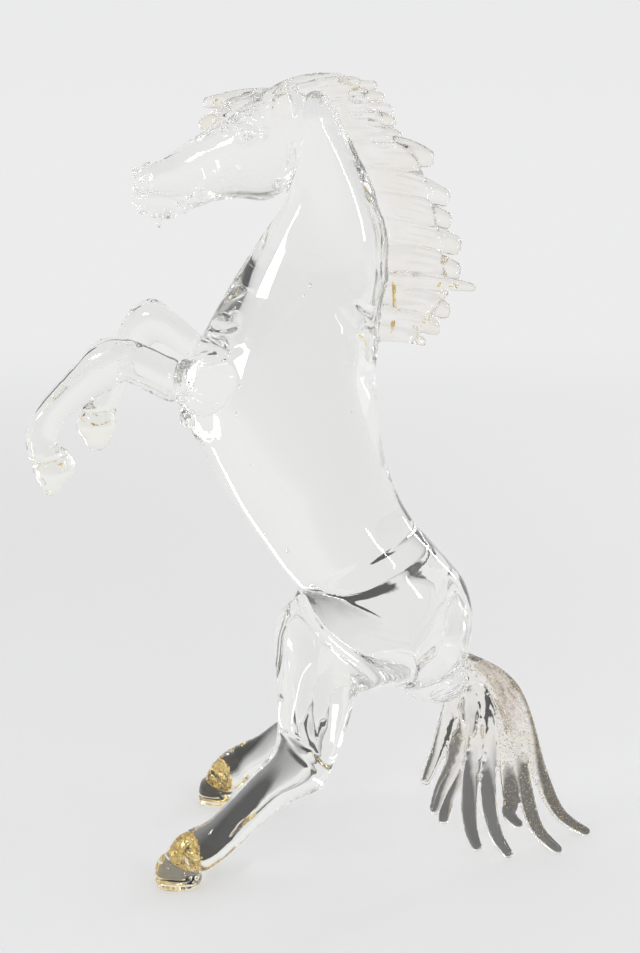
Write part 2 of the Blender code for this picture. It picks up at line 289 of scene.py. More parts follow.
@dataclass
class Trunk:
    """Neck, barrel and croup.

    Ribs run from the poll down to the croup: front x, z, rear x, z and the share of the width.
    """

    width: float = 78.0
    ribs: Sequence[Row] = (
        (-14, 368, 4, 397, 0.38),
        (-17, 350, 19, 371, 0.43),
        (-28, 333, 29, 350, 0.48),
        (-40, 315, 35, 329, 0.54),
        (-50, 299, 35, 308, 0.62),
        (-60, 281, 31, 290, 0.74),
        (-68, 264, 30, 274, 0.86),
        (-75, 244, 29, 260, 0.95),
        (-62, 219, 30, 241, 1.00),
        (-50, 197, 33, 220, 1.00),
        (-39, 181, 39, 200, 0.97),
        (-26, 163, 48, 183, 0.95),
        (-11, 144, 61, 168, 0.96),
        (-4, 127, 76, 150, 0.96),
        (9, 111, 81, 131, 0.86),
        (27, 97, 79, 114, 0.68),
        (43, 92, 75, 104, 0.48),
    )
    neck_ribs: int = 7
    crest_inset: float = 1.0
    knob_radius: float = 5.0
    knob: Row = (-66, 238)
    knob_share: float = 0.46
    shoulder: Row = (-52, 256)
    shoulder_share: float = 0.52
    shoulder_radii: Row = (20.0, 17.0, 17.0)

    def crest(self, steps: int) -> np.ndarray:
        """The line along the back of the neck, from the poll to the withers, as x, z."""
        return smooth_rows([row[2:4] for row in self.ribs[: self.neck_ribs]], steps)

    def forms(self) -> list[Form | Bead]:
        """The trunk and the beads where the forelegs were joined on.

        Returns:
            The forms, ready to fuse.
        """
        half = self.width / 2
        ribs = [(*row[:4], 0.0, row[4] * half) for row in self.ribs]
        out: list[Form | Bead] = [Form(ribs, steps=10, ring=96)]
        for side in Side:
            centre = (self.knob[0], side.value * self.knob_share * half, self.knob[1])
            out.append(Bead(centre, (self.knob_radius,) * 3))
            shoulder = (self.shoulder[0], side.value * self.shoulder_share * half, self.shoulder[1])
            out.append(Bead(shoulder, self.shoulder_radii))
        return out

    def grooves(self) -> list[Groove]:
        """Creases at the mane's root, the chest, the shoulder and the flank.

        Returns:
            The creases.
        """
        crest = tuple((x - self.crest_inset, z) for x, z in self.crest(1))
        return [
            Groove(crest[1:], depth=0.9, width=1.3),
            Groove(((-4, 158), (6, 150), (24, 152), (40, 160), (58, 172)), depth=1.0, width=2.2),
            Groove(((-66, 231), (-58, 226), (-50, 229)), depth=0.8, width=1.2),
            Groove(((-58, 268), (-48, 270), (-36, 275)), depth=0.8, width=1.2),
            Groove(((10, 296), (17, 287), (22, 280)), depth=1.0, width=2.0),
        ]


@dataclass
class Head:
    """Head, lower jaw, ears, eyes and nostrils.

    Ribs are upper x, z, lower x, z and the share of the width, or of the ear's thickness. Lobes are small knobs
    of glass on both sides: x, y, z and radius.
    """

    width: float = 37.0
    skull: Sequence[Row] = (
        (-3, 399, -4, 366, 0.75),
        (-18, 404, -14, 356, 0.92),
        (-34, 399, -27, 348, 1.00),
        (-48, 390, -42, 349, 0.86),
        (-62, 381, -57, 347, 0.64),
        (-73, 374, -68, 347, 0.55),
        (-84, 367, -80, 350, 0.56),
        (-91, 364, -88, 350, 0.56),
        (-94, 358, -92, 351, 0.42),
    )
    jaw: Sequence[Row] = (
        (-56, 355, -53, 348, 0.48),
        (-66, 354, -64, 344, 0.50),
        (-77, 354, -76, 341, 0.48),
        (-87, 354, -87, 341, 0.46),
        (-93, 352, -93, 344, 0.36),
    )
    ear: Sequence[Row] = (
        (-30, 386, -10, 388, 1.0),
        (-27, 395, -12, 397, 0.9),
        (-19, 405, -15, 405, 0.5),
    )
    ear_thickness: float = 7.5
    ear_share: float = 0.74
    eye: Row = (-34.0, 13.6, 381.3)
    eye_radii: Row = (4.8, 5.6, 4.2)
    drip: Row = (-83, 0.0, 337)
    drip_radii: Row = (1.6, 1.6, 3.6)
    lobes: Sequence[Row] = (
        (-88.5, 3.0, 364.5, 2.6),
        (-93.0, 4.0, 361.5, 3.0),
        (-89.5, 7.5, 358.5, 3.3),
        (-88.0, 8.5, 354.0, 2.2),
        (-93.5, 3.5, 349.0, 3.2),
        (-91.0, 5.0, 343.5, 2.9),
        (-84.5, 5.5, 341.5, 2.6),
        (-77.5, 6.5, 341.0, 2.9),
        (-71.0, 7.5, 344.0, 3.1),
        (-65.0, 8.0, 348.5, 2.8),
        (-60.5, 9.5, 352.5, 2.5),
        (-46.5, 12.5, 384.0, 2.6),
        (-19.5, 13.0, 355.0, 3.0),
    )

    def forms(self) -> list[Form | Bead]:
        """The head's forms, with a drip of glass under the lip.

        Returns:
            The forms, ready to fuse.
        """
        half = self.width / 2
        out: list[Form | Bead] = [Form([(*r[:4], 0.0, r[4] * half) for r in self.skull], steps=10, ring=72)]
        out.append(Form([(*r[:4], 0.0, r[4] * half) for r in self.jaw], ring=48))
        for side in Side:
            sign = side.value
            ear = [(*r[:4], sign * self.ear_share * half, r[4] * self.ear_thickness / 2) for r in self.ear]
            out.append(Form(ear, ring=36, zone=Zone.HAIR))
            out.append(Bead((self.eye[0], sign * self.eye[1], self.eye[2]), self.eye_radii))
            out += [Bead((x, sign * y, z), (radius,) * 3) for x, y, z, radius in self.lobes]
        out.append(Bead(self.drip, self.drip_radii))
        return out

    def grooves(self) -> list[Groove]:
        """Lids, brow, nostril, mouth, cheek and ear hollow.

        Returns:
            The creases.
        """
        return [
            Groove(((-40, 385), (-37, 387.3), (-32, 385.3), (-27.5, 381.5)), depth=1.4, width=1.3, ends=0.12),
            Groove(((-40, 380), (-37.5, 376.6), (-32, 377.6), (-27.5, 381)), depth=1.1, width=1.2, ends=0.12),
            Groove(((-48, 389), (-44, 386), (-42, 381)), depth=1.3, width=1.2),
            Groove(((-85, 362), (-87, 358), (-90, 357)), depth=1.0, width=1.2),
            Groove(((-84, 370), (-81, 368), (-80, 364)), depth=0.7, width=1.0),
            Groove(((-91, 354), (-82, 352), (-76, 349), (-68, 348.5), (-60, 354)), depth=0.7, width=0.8),
            Groove(((-62, 353), (-57, 354), (-50, 350.5)), depth=0.9, width=0.9),
            Groove(((-18, 386), (-16, 377), (-17, 366), (-22, 355)), depth=0.9, width=1.6),
            Groove(((-20, 401), (-20, 394), (-20, 388)), depth=1.2, width=2.2),
        ]


@dataclass
class Leg:
    """One leg with its hoof.

    Leg ribs are front x, z, rear x, z, the place across as a share of half the stance, and the share of the
    width. Hoof ribs run from the coronet down: toe x, z, heel x, z and the share of the hoof's width.
    """

    side: Side
    stance: float
    width: float
    hoof_width: float
    ribs: Sequence[Row]
    hoof: Sequence[Row]
    creases: Sequence[Groove] = field(default_factory=tuple)
    most_reach: float = 1.04

    def across(self) -> float:
        """Where the hoof stands across the horse."""
        return self.side.value * self.stance / 2 * min(self.ribs[-1][4], self.most_reach)

    def forms(self) -> list[Form | Bead]:
        """The leg and the hoof.

        Returns:
            The forms, ready to fuse.
        """
        reach = self.side.value * self.stance / 2
        ribs = [(*r[:4], r[4] * reach, r[5] * self.width / 2) for r in self.ribs]
        hoof = [(*r[:4], self.across(), r[4] * self.hoof_width / 2) for r in self.hoof]
        return [Form(ribs, steps=10, ring=60), Form(hoof, ring=48, zone=Zone.HOOF)]

    def grooves(self) -> list[Groove]:
        """Creases of this leg, on its own side."""
        return list(self.creases)


def hind_legs() -> list[Leg]:
    """The two hind legs, each with its own bend.

    Returns:
        The near and the far leg.
    """
    shared = {"stance": 112.0, "width": 38.0, "hoof_width": 22.0}
    near = Leg(
        side=Side.NEAR,
        **shared,
        ribs=(
            (0, 152, 60, 124, 0.36, 1.00),
            (-16, 141, 50, 104, 0.44, 1.00),
            (-21, 126, 34, 101, 0.56, 0.90),
            (-19, 105, 23, 99, 0.67, 0.79),
            (-18, 89, 18, 84, 0.76, 0.70),
            (-19, 75, 12, 67, 0.83, 0.63),
            (-25, 64, 5, 52, 0.86, 0.62),
            (-33, 55, -13, 43, 0.89, 0.54),
            (-42, 45, -27, 31, 0.92, 0.49),
            (-54, 33, -39, 19, 0.95, 0.48),
            (-64, 28, -50, 10, 0.98, 0.54),
            (-70, 23, -58, 6, 1.00, 0.56),
        ),
        hoof=(
            (-72, 21, -57, 21, 0.75),
            (-79, 13, -56, 12, 0.95),
            (-81, 5, -56, 5, 1.0),
            (-79, -4, -59, -4, 0.95),
        ),
        creases=(
            Groove(((-17, 82), (-8, 74), (1, 66), (4, 60)), 0.9, 1.4, Side.NEAR),
            Groove(((2, 128), (2, 110), (1, 90), (3, 70)), 0.8, 2.2, Side.NEAR),
            Groove(((-80, 17), (-68, 13), (-55, 6)), 1.5, 1.5, Side.NEAR, 0.01, True),
        ),
    )
    far = Leg(
        side=Side.FAR,
        **shared,
        ribs=(
            (2, 150, 60, 124, 0.36, 1.00),
            (-13, 139, 50, 108, 0.44, 1.00),
            (-18, 122, 35, 104, 0.56, 0.90),
            (-17, 101, 23, 98, 0.66, 0.79),
            (-16, 85, 18, 82, 0.74, 0.70),
            (-17, 70, 12, 62, 0.81, 0.63),
            (-21, 59, 4, 46, 0.86, 0.62),
            (-32, 49, -17, 34, 0.90, 0.54),
            (-42, 41, -31, 24, 0.93, 0.49),
            (-53, 35, -44, 17, 0.96, 0.48),
            (-62, 29, -51, 10, 0.99, 0.52),
            (-66, 24, -57, 7, 1.00, 0.52),
        ),
        hoof=(
            (-68, 21, -55, 21, 0.75),
            (-74, 13, -54, 12, 0.95),
            (-76, 5, -55, 5, 1.0),
            (-75, -4, -57, -4, 0.95),
        ),
        creases=(
            Groove(((-16, 78), (-7, 70), (2, 62), (4, 56)), 0.9, 1.4, Side.FAR),
            Groove(((2, 128), (2, 110), (1, 90), (3, 70)), 0.8, 2.2, Side.FAR),
            Groove(((-76, 16), (-65, 11), (-53, 5)), 1.5, 1.5, Side.FAR, 0.01, True),
        ),
    )
    return [near, far]


def fore_legs() -> list[Leg]:
    """The two raised forelegs, each with its own bend.

    Returns:
        The near and the far leg.
    """
    shared = {"stance": 62.0, "width": 25.0, "hoof_width": 17.0}
    near = Leg(
        side=Side.NEAR,
        **shared,
        ribs=(
            (-45, 273, -50, 243, 0.55, 1.12),
            (-60, 270, -64, 246, 0.76, 1.00),
            (-72, 270, -75, 248, 0.87, 0.90),
            (-87, 277, -83, 252, 0.92, 0.84),
            (-101, 281, -96, 258, 0.96, 0.80),
            (-113, 277, -103, 254, 0.97, 0.76),
            (-123, 266, -113, 249, 0.98, 0.68),
            (-134, 254, -122, 243, 1.00, 0.60),
            (-143, 243, -129, 236, 1.02, 0.55),
            (-148, 231, -132, 228, 1.03, 0.52),
            (-147, 219, -131, 219, 1.04, 0.54),
        ),
        hoof=((-145, 216, -124, 219, 0.90), (-144, 210, -123, 212, 1.00), (-140, 204, -129, 205, 0.85)),
        creases=(
            Groove(((-69, 273), (-71, 259), (-71, 244)), 1.1, 1.2, Side.NEAR, 0.01, True),
            Groove(((-63, 269), (-64, 258), (-64, 248)), 0.9, 1.0, Side.NEAR, 0.1),
            Groove(((-84, 275), (-95, 270), (-104, 262)), 0.6, 1.4, Side.NEAR),
            Groove(((-150, 217), (-139, 217), (-122, 222)), 1.3, 1.2, Side.NEAR, 0.01, True),
        ),
    )
    far = Leg(
        side=Side.FAR,
        **shared,
        ribs=(
            (-45, 283, -48, 251, 0.55, 1.12),
            (-62, 275, -62, 250, 0.76, 1.00),
            (-78, 286, -72, 261, 0.87, 0.90),
            (-92, 295, -86, 270, 0.92, 0.84),
            (-104, 290, -92, 271, 0.96, 0.78),
            (-112, 277, -98, 265, 0.97, 0.68),
            (-117, 262, -104, 256, 0.99, 0.58),
            (-122, 248, -110, 245, 1.01, 0.54),
            (-127, 236, -114, 234, 1.03, 0.54),
        ),
        hoof=((-135, 231, -116, 233, 0.90), (-137, 224, -115, 225, 1.00), (-133, 218, -118, 219, 0.85)),
        creases=(
            Groove(((-66, 277), (-68, 264), (-68, 252)), 1.1, 1.2, Side.FAR, 0.1),
            Groove(((-60, 275), (-61, 263), (-61, 252)), 0.9, 1.0, Side.FAR, 0.1),
            Groove(((-137, 233), (-126, 233), (-113, 235)), 1.3, 1.2, Side.FAR, 0.01, True),
        ),
    )
    return [near, far]


def lock_ribs(path: Sequence[Row], depth: float, thickness: float, tip_share: float) -> list[Row]:
    """Ribs of a lock or a strand of glass drawn along a path, fine at its tip.

    Args:
        path: Points x, y, z of its middle line.
        depth: Its full depth in the side plane.
        thickness: Its full width across.
        tip_share: The share of both that is left at the tip.

    Returns:
        The ribs.
    """
    points = smooth_rows(path, LOCK_STEPS)
    last = len(points) - 1
    ribs = []
    for i, point in enumerate(points):
        ahead = points[min(i + 1, last)] - points[max(i - 1, 0)]
        side = np.array([-ahead[2], 0.0, ahead[0]])
        side /= np.linalg.norm(side)
        share = 1 - (1 - tip_share) * (i / last) ** 2
        front, rear = point + side * depth * share / 2, point - side * depth * share / 2
        ribs.append((front[0], front[2], rear[0], rear[2], point[1], thickness * share / 2))
    return ribs


@dataclass
class Hair:
    """Petals of drawn glass, with the sizes that the mane and the forelock share.

    A petal's row is root x, z, tip x, z, and its depth in the side plane at the root, in the middle and at the
    tip.
    """

    thickness: float = 8.0
    tip_share: float = 0.5
    arch: float = 2.0
    inset: float = 6.0
    root_share: float = 0.4
    steps: int = 24
    comb_lines: Sequence[float] = (-0.27, 0.04, 0.3)
    comb_start: int = 5
    comb_stop: int = 18
    comb_shift: int = 2
    comb_skip: int = 3

    def middle(self, row: Row) -> tuple[np.ndarray, np.ndarray, np.ndarray]:
        """A petal's middle line in the side plane, its upward direction, and its depth along the line.

        Args:
            row: The petal's row.

        Returns:
            The line, the direction and a column of depths.
        """
        root, tip = np.array(row[0:2], float), np.array(row[2:4], float)
        run = tip - root
        run /= np.linalg.norm(run)
        upwards = np.array([-run[1], run[0]]) * math.copysign(1, run[0])
        t = np.linspace(0, 1, self.steps + 1)[:, None]
        start = root - run * self.inset
        line = start + (tip - start) * t + upwards * self.arch * 4 * t * (1 - t)
        first, middle, last = row[4:7]
        depth = first * (1 - t) * (1 - 2 * t) + middle * 4 * t * (1 - t) + last * t * (2 * t - 1)
        return line, upwards, depth

    def petal(self, row: Row, across: float) -> Form:
        """One petal.

        Args:
            row: Its row.
            across: Where its tip lies across the horse.

        Returns:
            The form.
        """
        line, upwards, depth = self.middle(row)
        t = np.linspace(0, 1, self.steps + 1)
        front, rear = line + upwards * depth / 2, line - upwards * depth / 2
        places = across * (self.root_share + (1 - self.root_share) * t)
        widths = self.thickness / 2 * (1 - (1 - self.tip_share) * t**2)
        return Form(np.column_stack([front, rear, places, widths]), steps=1, ring=60, zone=Zone.HAIR)

    def combing(self, row: Row) -> list[Groove]:
        """The fine lines combed along a petal.

        Args:
            row: The petal's row.

        Returns:
            The creases.
        """
        line, upwards, depth = self.middle(row)
        out = []
        for i, place in enumerate(self.comb_lines):
            first, last = self.comb_start + self.comb_shift * i, self.comb_stop + self.comb_shift * i
            path = (line + upwards * depth * place)[first : last + 1 : self.comb_skip]
            out.append(Groove(tuple(map(tuple, path)), depth=0.6, width=0.95, ends=0.3))
        return out


@dataclass
class Mane(Hair):
    """Petals off the crest of the neck, on a web of glass."""

    spread: float = 8.0
    web_share: float = 0.8
    web_thickness: float = 5.0
    petals: Sequence[Row] = (
        (-16, 403, 11, 409, 8, 7, 4),
        (-13, 400, 19, 407, 8, 7, 4),
        (-8, 398, 27, 405, 8, 8, 5),
        (-1, 396, 31, 399, 9, 9, 5),
        (5, 392, 35, 393, 9, 9, 5),
        (9, 387, 37, 387, 10, 10, 6),
        (13, 380, 40, 379, 11, 12, 7),
        (18, 371, 56, 369, 12, 17, 9),
        (25, 358, 64, 349, 15, 15, 9),
        (31, 345, 65, 338, 14, 13, 9),
        (34, 332, 70, 325, 15, 15, 10),
        (35, 317, 70, 313, 15, 16, 9),
        (35, 306, 78, 304, 12, 11, 4),
        (34, 297, 65, 293, 14, 14, 9),
        (33, 288, 60, 283, 13, 13, 8),
        (33, 280, 53, 277, 10, 9, 5),
    )

    def forms(self) -> list[Form | Bead]:
        """The petals, by turns on the far and the near side, and the web.

        Returns:
            The forms, ready to fuse.
        """
        out: list[Form | Bead] = []
        web = []
        for i, row in enumerate(self.petals):
            out.append(self.petal(row, (-1 if i % 2 else 1) * self.spread / 2))
            edge = between(row[0:2], row[2:4], self.web_share)
            web.append((row[0] - self.inset, row[1], *edge, 0.0, self.web_thickness / 2))
        out.append(Form(web, steps=4, ring=60, zone=Zone.HAIR))
        return out

    def grooves(self) -> list[Groove]:
        """The lines combed along every petal."""
        return [groove for row in self.petals for groove in self.combing(row)]


@dataclass
class Forelock(Hair):
    """Locks over the forehead; each row ends in the place across as a share of half the spread."""

    spread: float = 13.0
    locks: Sequence[Row] = (
        (-14, 398, -57.5, 396.5, 8, 9, 6, 0),
        (-26, 396, -59, 385.5, 8, 9, 6.5, -1),
        (-26, 396, -59, 385.5, 8, 9, 6.5, 1),
        (-16, 397, -47, 393, 8, 8, 6, -0.7),
        (-16, 397, -47, 393, 8, 8, 6, 0.7),
    )

    def forms(self) -> list[Form | Bead]:
        """The locks."""
        return [self.petal(row, row[7] * self.spread / 2) for row in self.locks]

    def grooves(self) -> list[Groove]:
        """The lines combed along the locks."""
        return [groove for row in self.locks[:3] for groove in self.combing(row)]


@dataclass
class Tail:
    """Strands fused side by side at the dock, which part below into single tips.

    A strand's row is x, z of its middle and x, y, z of its tip.
    """

    depth: float = 10.5
    thickness: float = 6.5
    tip_share: float = 0.5
    stagger: float = 5.0
    sweep: float = 5.0
    low_share: float = 0.6
    dock_inner: Row = (64, 0, 102)
    dock_outer: Row = (73, 0, 108)
    fan_inner: Row = (72, 0, 90)
    fan_outer: Row = (102, 4, 90)
    strands: Sequence[Row] = (
        (66, 63, 57, -10, 41),
        (73, 54, 62, -2, 21),
        (76, 44, 67, 9, 11),
        (81, 38, 86, -2, 1),
        (91, 33, 103, -9, 1),
        (103, 34, 109, 10, 10),
        (110, 36, 130, -1, 1),
        (119, 40, 147, 25, 1),
    )

    def paths(self) -> list[list[Row]]:
        """The middle line of every strand, from the innermost to the outermost.

        Returns:
            A path for each strand, with points x, y, z.
        """
        out = []
        for i, (middle_x, middle_z, tip_x, tip_y, tip_z) in enumerate(self.strands):
            share = i / (len(self.strands) - 1)
            stagger = self.stagger / 2 * (-1 if i % 2 else 1)
            dock = between(self.dock_inner, self.dock_outer, share)
            fan = between(self.fan_inner, self.fan_outer, share)
            fan[1] += stagger / 2
            middle = (middle_x, (fan[1] + tip_y) / 2 + stagger, middle_z)
            tip = (tip_x, tip_y, tip_z)
            low = between(middle, tip, self.low_share)
            low[0] -= self.sweep * share
            low[2] -= self.sweep * share / 2
            out.append([dock, fan, middle, low, tip])
        return out

    def forms(self) -> list[Form | Bead]:
        """All strands, with nipped tips.

        Returns:
            The forms, ready to fuse.
        """
        out: list[Form | Bead] = []
        for path in self.paths():
            ribs = lock_ribs(path, self.depth, self.thickness, self.tip_share)
            out.append(Form(ribs, steps=2, end_round=0.6, zone=Zone.HAIR))
        return out

    def grooves(self) -> list[Groove]:
        """The folds where the strands were pulled out of the croup.

        Returns:
            The creases.
        """
        folds = (
            ((56, 90), (66, 99), (80, 106)),
            ((59, 87), (70, 95), (85, 103)),
            ((64, 85), (76, 91), (91, 97)),
            ((84, 108), (95, 97), (102, 82), (107, 66)),
            ((79, 103), (89, 92), (96, 78), (100, 64)),
        )
        return [Groove(line, depth=0.8, width=0.9) for line in folds]


@dataclass
class Fuser:
    """Fuses forms into one skin of glass and works its surface."""

    voxel: float = 1.0
    soften_rounds: int = 20
    last_rounds: int = 3
    shrink: float = 0.5
    swell: float = -0.52
    most_triangles: int = 190_000

    def fuse(self, joined: bpy.types.Object) -> bpy.types.Mesh:
        """The united skin of the joined forms, as a new mesh.

        Args:
            joined: The object of all forms, which is removed.

        Returns:
            The skin.
        """
        modifier = joined.modifiers.new("fuse", "REMESH")
        modifier.mode = "VOXEL"
        modifier.voxel_size = self.voxel * MM
        skin = baked(joined)
        bpy.data.objects.remove(joined)
        return skin

    def soften(self, skin: bpy.types.Mesh, rounds: int) -> None:
        """Takes the steps of the voxels out without shrinking the form, as fire polishing does.

        Args:
            skin: The mesh to smooth.
            rounds: How many times it is shrunk and swollen again.
        """
        points = read_points(skin)
        edges = np.empty(len(skin.edges) * 2, np.int64)
        skin.edges.foreach_get("vertices", edges)
        first, second = edges[::2], edges[1::2]
        count = len(points)
        degree = np.bincount(first, minlength=count) + np.bincount(second, minlength=count)
        for factor in (self.shrink, self.swell) * rounds:
            mean = np.empty_like(points)
            for axis in range(3):
                total = np.bincount(first, points[second, axis], count)
                total += np.bincount(second, points[first, axis], count)
                mean[:, axis] = total / degree
            points += factor * (mean - points)
        write_points(skin, points)

    def work_surface(self, skin: bpy.types.Mesh, grooves: Sequence[Groove]) -> None:
        """Presses the creases into the skin.

        Args:
            skin: The mesh to work.
            grooves: The creases.
        """
        points = read_points(skin) / MM
        normals = read_normals(skin)
        moved = sum((groove.carve(points, normals) for groove in grooves), np.zeros_like(points))
        write_points(skin, (points + moved) * MM)

    def stand(self, skin: bpy.types.Mesh) -> None:
        """Cuts the skin flat on the floor.

        Args:
            skin: The mesh to cut.
        """
        mesh = bmesh.new()
        mesh.from_mesh(skin)
        everything = mesh.verts[:] + mesh.edges[:] + mesh.faces[:]
        cut = bmesh.ops.bisect_plane(
            mesh, geom=everything, dist=1e-6, plane_co=(0, 0, 0), plane_no=(0, 0, 1), clear_inner=True
        )
        rim = [e for e in cut["geom_cut"] if isinstance(e, bmesh.types.BMEdge)]
        soles = bmesh.ops.holes_fill(mesh, edges=rim, sides=0)["faces"]
        bmesh.ops.triangulate(mesh, faces=soles)
        mesh.to_mesh(skin)
        mesh.free()

    def thin(self, horse: bpy.types.Object) -> None:
        """Brings the mesh under the fuser's most triangles.

        Args:
            horse: The object whose mesh is thinned.
        """
        horse.data.calc_loop_triangles()
        found = len(horse.data.loop_triangles)
        if found <= self.most_triangles:
            return
        modifier = horse.modifiers.new("thin", "DECIMATE")
        modifier.ratio = self.most_triangles / found
        thinned = baked(horse)
        horse.modifiers.clear()
        old, horse.data = horse.data, thinned
        bpy.data.meshes.remove(old)


def read_points(mesh: bpy.types.Mesh) -> np.ndarray:
    """The mesh's points in metres.

    Args:
        mesh: The mesh to read.

    Returns:
        A row for each point.
    """
    flat = np.empty(len(mesh.vertices) * 3)
    mesh.vertices.foreach_get("co", flat)
    return flat.reshape(-1, 3)


def read_normals(mesh: bpy.types.Mesh) -> np.ndarray:
    """The normals of the mesh's points.

    Args:
        mesh: The mesh to read.

    Returns:
        A row for each point.
    """
    flat = np.empty(len(mesh.vertices) * 3)
    mesh.vertex_normals.foreach_get("vector", flat)
    return flat.reshape(-1, 3)


def write_points(mesh: bpy.types.Mesh, points: np.ndarray) -> None:
    """Moves the mesh's points, given in metres."""
    mesh.vertices.foreach_set("co", points.ravel())
    mesh.update()


@dataclass
class GlassHorse:
    """The horse as one piece of glass."""

    trunk: Trunk = field(default_factory=Trunk)
    head: Head = field(default_factory=Head)
    tail: Tail = field(default_factory=Tail)
    legs: list[Leg] = field(default_factory=lambda: hind_legs() + fore_legs())
    mane: Mane = field(default_factory=Mane)
    forelock: Forelock = field(default_factory=Forelock)
    fuser: Fuser = field(default_factory=Fuser)
    tint_blend: float = 3.0
    fore_hoof_share: float = 0.15
    fore_hoof_height: float = 100.0

    def mark_zones(self, skin: bpy.types.Mesh, forms: Sequence[Form | Bead]) -> None:
        """Writes how much each point belongs to the hair and to the hooves.

        Args:
            skin: The fused mesh.
            forms: The forms that were fused.
        """
        points = read_points(skin) / MM
        gaps = {}
        for zone in Zone:
            cloud = np.vstack([form.build()[0] for form in forms if form.zone is zone])
            tree = KDTree(len(cloud))
            for i, point in enumerate(cloud):
                tree.insert(point, i)
            tree.balance()
            gaps[zone] = np.array([tree.find(p)[2] for p in points])
        for zone in (Zone.HAIR, Zone.HOOF):
            lead = gaps[Zone.BODY] - gaps[zone]
            amount = np.clip(0.5 + lead / (2 * self.tint_blend), 0, 1)
            if zone is Zone.HOOF:
                amount[points[:, 2] > self.fore_hoof_height] *= self.fore_hoof_share
            attribute = skin.attributes.new(zone.value, "FLOAT", "POINT")
            attribute.data.foreach_set("value", amount)

    def build(self, low: Vector, high: Vector, material: bpy.types.Material) -> bpy.types.Object:
        """The finished glass.

        Args:
            low: Lowest corner of the frame's box.
            high: Highest corner of the frame's box.
            material: The glass.

        Returns:
            The object.
        """
        parts = [self.trunk, self.head, *self.legs, self.mane, self.forelock, self.tail]
        forms = [form for part in parts for form in part.forms()]
        skin = self.fuser.fuse(mesh_object("forms", forms))
        LOG.info("fused skin: %d points", len(skin.vertices))
        self.fuser.soften(skin, self.fuser.soften_rounds)
        self.fuser.work_surface(skin, [groove for part in parts for groove in part.grooves()])
        self.fuser.soften(skin, self.fuser.last_rounds)
        self.fuser.stand(skin)
        write_points(skin, np.clip(read_points(skin), np.array(low), np.array(high)))
        self.mark_zones(skin, forms)
        skin.name = "fused_glass_horse"
        skin.materials.clear()
        skin.materials.append(material)
        horse = placed("fused_glass_horse", skin)
        self.fuser.thin(horse)
        horse.data.shade_smooth()
        return horse


@dataclass
class Graph:
    """A node tree, built by naming its nodes and joining their sockets, each written as node.socket."""

    tree: bpy.types.NodeTree

    def add(self, kind: str, name: str, **values: object) -> bpy.types.Node:
        """Adds a node.

        Args:
            kind: Blender's name of the node type.
            name: Its own name in the tree.
            **values: Options of the node, in small letters, and then values of its inputs, with a capital
                letter and with _ for a space.

        Returns:
            The node.
        """
        node = self.tree.nodes.new(kind)
        node.name = name
        for key, value in values.items():
            if key[0].islower():
                setattr(node, key, value)
            else:
                node.inputs[key.replace("_", " ")].default_value = value
        return node

    def entry(self, place: str) -> bpy.types.NodeSocket:
        """The input that a place names, such as mix.Factor or mix.0."""
        node, socket = place.split(".")
        return self.tree.nodes[node].inputs[int(socket) if socket.isdigit() else socket]

    def put(self, place: str, value: object) -> None:
        """Sets the value of an input."""
        self.entry(place).default_value = value

    def join(self, *links: str) -> None:
        """Joins sockets, each link written as node.output > node.input."""
        for link in links:
            start, stop = link.split(" > ")
            node, output = start.split(".")
            self.tree.links.new(self.tree.nodes[node].outputs[output], self.entry(stop))


def new_material(name: str) -> tuple[bpy.types.Material, Graph]:
    """A material with Blender's first shader, and its graph.

    Args:
        name: Its name.

    Returns:
        The material and its graph.
    """
    material = bpy.data.materials.new(name)
    material.use_nodes = True
    return material, Graph(material.node_tree)


def tone_group() -> bpy.types.NodeTree:
    """A group that mixes two colours in clouds, for metal leaf, film and tinted glass.

    Returns:
        The group, with the inputs Light, Deep, Scale and Share, and the output Color.
    """
    name = "clouded tone"
    if name in bpy.data.node_groups:
        return bpy.data.node_groups[name]
    tree = bpy.data.node_groups.new(name, "ShaderNodeTree")
    for title, kind in (("Light", "Color"), ("Deep", "Color"), ("Scale", "Float"), ("Share", "Float")):
        tree.interface.new_socket(title, in_out="INPUT", socket_type="NodeSocket" + kind)
    tree.interface.new_socket("Color", in_out="OUTPUT", socket_type="NodeSocketColor")
    graph = Graph(tree)
    graph.add("NodeGroupInput", "in")
    graph.add("NodeGroupOutput", "out")
    graph.add("ShaderNodeTexCoord", "place")
    graph.add("ShaderNodeTexNoise", "clouds", Detail=3.0, Roughness=0.6)
    graph.add("ShaderNodeMapRange", "edge", clamp=True, From_Min=0.38, From_Max=0.62)
    graph.add("ShaderNodeMath", "strength", operation="MULTIPLY")
    graph.add("ShaderNodeMix", "mix", data_type="RGBA")
    graph.join(
        "place.Object > clouds.Vector",
        "in.Scale > clouds.Scale",
        "clouds.Fac > edge.Value",
        "edge.Result > strength.0",
        "in.Share > strength.1",
        "strength.Value > mix.Factor",
        "in.Light > mix.A",
        "in.Deep > mix.B",
        "mix.Result > out.Color",
    )
    return tree


@dataclass(frozen=True)
class Tone:
    """Two colours and the size of the clouds that mix them."""

    light: Row
    deep: Row
    scale: float = 300.0
    share: float = 1.0

    def place(self, graph: Graph, name: str) -> None:
        """Puts the group into a material with this tone's values."""
        colours = {"Light": (*self.light, 1.0), "Deep": (*self.deep, 1.0)}
        values = {**colours, "Scale": self.scale, "Share": self.share}
        graph.add("ShaderNodeGroup", name, node_tree=tone_group(), **values)


